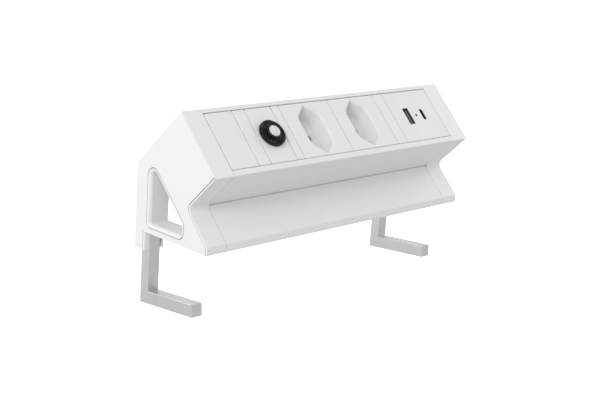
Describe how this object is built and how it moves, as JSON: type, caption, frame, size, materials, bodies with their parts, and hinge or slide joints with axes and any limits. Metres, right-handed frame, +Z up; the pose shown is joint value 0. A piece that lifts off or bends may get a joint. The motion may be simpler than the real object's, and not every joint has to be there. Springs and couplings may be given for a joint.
{
  "type": "desk power strip",
  "caption": "Wedge-shaped power strip that clamps to a desk's rear edge on L-shaped bars, with mains sockets, an overload breaker and USB ports in its sloping face.",
  "frame": {"origin": "at mid-length, on the line where the desk's top surface meets its rear edge", "axes": "+X to the right of the user at the desk, +Y away from the user, +Z up"},
  "size_m": [0.24, 0.074, 0.1327],
  "materials": {
    "white_coated_aluminium": "satin",
    "white_cap_plastic": "satin",
    "white_module_plastic": "gloss",
    "satin_aluminium": "satin",
    "zinc_plated_steel": "satin",
    "black_plastic": "satin",
    "button_white": "gloss",
    "grey_plastic": "matte",
    "brass": "satin",
    "port_steel": "satin",
    "light_guide": "gloss",
    "circuit_board": "satin",
    "transformer_core": "satin",
    "capacitor_can": "satin",
    "brown_insulation": "satin",
    "blue_insulation": "satin",
    "green_insulation": "satin"
  },
  "bodies": {
    "housing": {"end_cap_left": "white_cap_plastic", "end_cap_right": "white_cap_plastic", "side_cover_left": "white_cap_plastic", "side_cover_right": "white_cap_plastic", "cap_screws": "zinc_plated_steel", "main_profile": "white_coated_aluminium", "front_apron": "white_coated_aluminium", "clamp_washers": "zinc_plated_steel", "blank_plate": "white_module_plastic", "spacer_1": "white_module_plastic", "spacer_2": "white_module_plastic", "spacer_3": "white_module_plastic", "breaker_plate": "white_module_plastic", "breaker_body": "black_plastic", "breaker_nut": "black_plastic", "breaker_spring": "zinc_plated_steel", "breaker_spring_seat": "zinc_plated_steel", "breaker_blades": "brass", "breaker_bimetal": "brass", "socket_face_1": "white_module_plastic", "socket_face_2": "white_module_plastic", "socket_base_1": "grey_plastic", "socket_base_2": "grey_plastic", "line_contact_1": "brass", "line_contact_2": "brass", "neutral_contact_1": "brass", "neutral_contact_2": "brass", "earth_contact_1": "brass", "earth_contact_2": "brass", "usb_face_plate": "white_module_plastic", "usb_a_shell": "port_steel", "usb_c_shell": "port_steel", "usb_a_tongue": "grey_plastic", "usb_c_tongue": "black_plastic", "usb_light_guide": "light_guide", "usb_board": "circuit_board", "usb_transformer": "transformer_core", "usb_capacitors": "capacitor_can", "usb_case": "grey_plastic", "mains_inlet_body": "black_plastic", "mains_inlet_pins": "brass", "line_wires": "brown_insulation", "neutral_wires": "blue_insulation", "earth_wires": "green_insulation", "earth_ring_terminal": "brass", "earth_screw": "zinc_plated_steel"},
    "left_clamp_screw": {"clamp_screw_left": "zinc_plated_steel"},
    "left_clamp_arm": {"clamp_arm_left": "satin_aluminium"},
    "right_clamp_screw": {"clamp_screw_right": "zinc_plated_steel"},
    "right_clamp_arm": {"clamp_arm_right": "satin_aluminium"},
    "reset_button": {"breaker_button": "button_white"}
  },
  "joints": [
    {"name": "left_clamp_screw_turn", "type": "hinge", "parent": "housing", "child": "left_clamp_screw", "pos_m": [-0.11135, 0.00435, 0.042], "axis": [0, 0, -1], "range_deg": [-3600, 12600]},
    {"name": "left_clamp_arm_rise", "type": "slide", "parent": "housing", "child": "left_clamp_arm", "axis": [0, 0, 1], "range_m": [-0.008, 0.028]},
    {"name": "right_clamp_screw_turn", "type": "hinge", "parent": "housing", "child": "right_clamp_screw", "pos_m": [0.11135, 0.00435, 0.042], "axis": [0, 0, -1], "range_deg": [-3600, 12600]},
    {"name": "right_clamp_arm_rise", "type": "slide", "parent": "housing", "child": "right_clamp_arm", "axis": [0, 0, 1], "range_m": [-0.008, 0.028]},
    {"name": "reset_button_travel", "type": "slide", "parent": "housing", "child": "reset_button", "axis": [0, -0.7071, 0.7071], "range_m": [-0.001, 0.0035], "stiffness_N_per_m": 400}
  ],
  "couplings": [
    {"joint": "left_clamp_screw_turn", "follows": "left_clamp_arm_rise", "rad_per_m": 7854},
    {"joint": "right_clamp_screw_turn", "follows": "right_clamp_arm_rise", "rad_per_m": 7854}
  ]
}
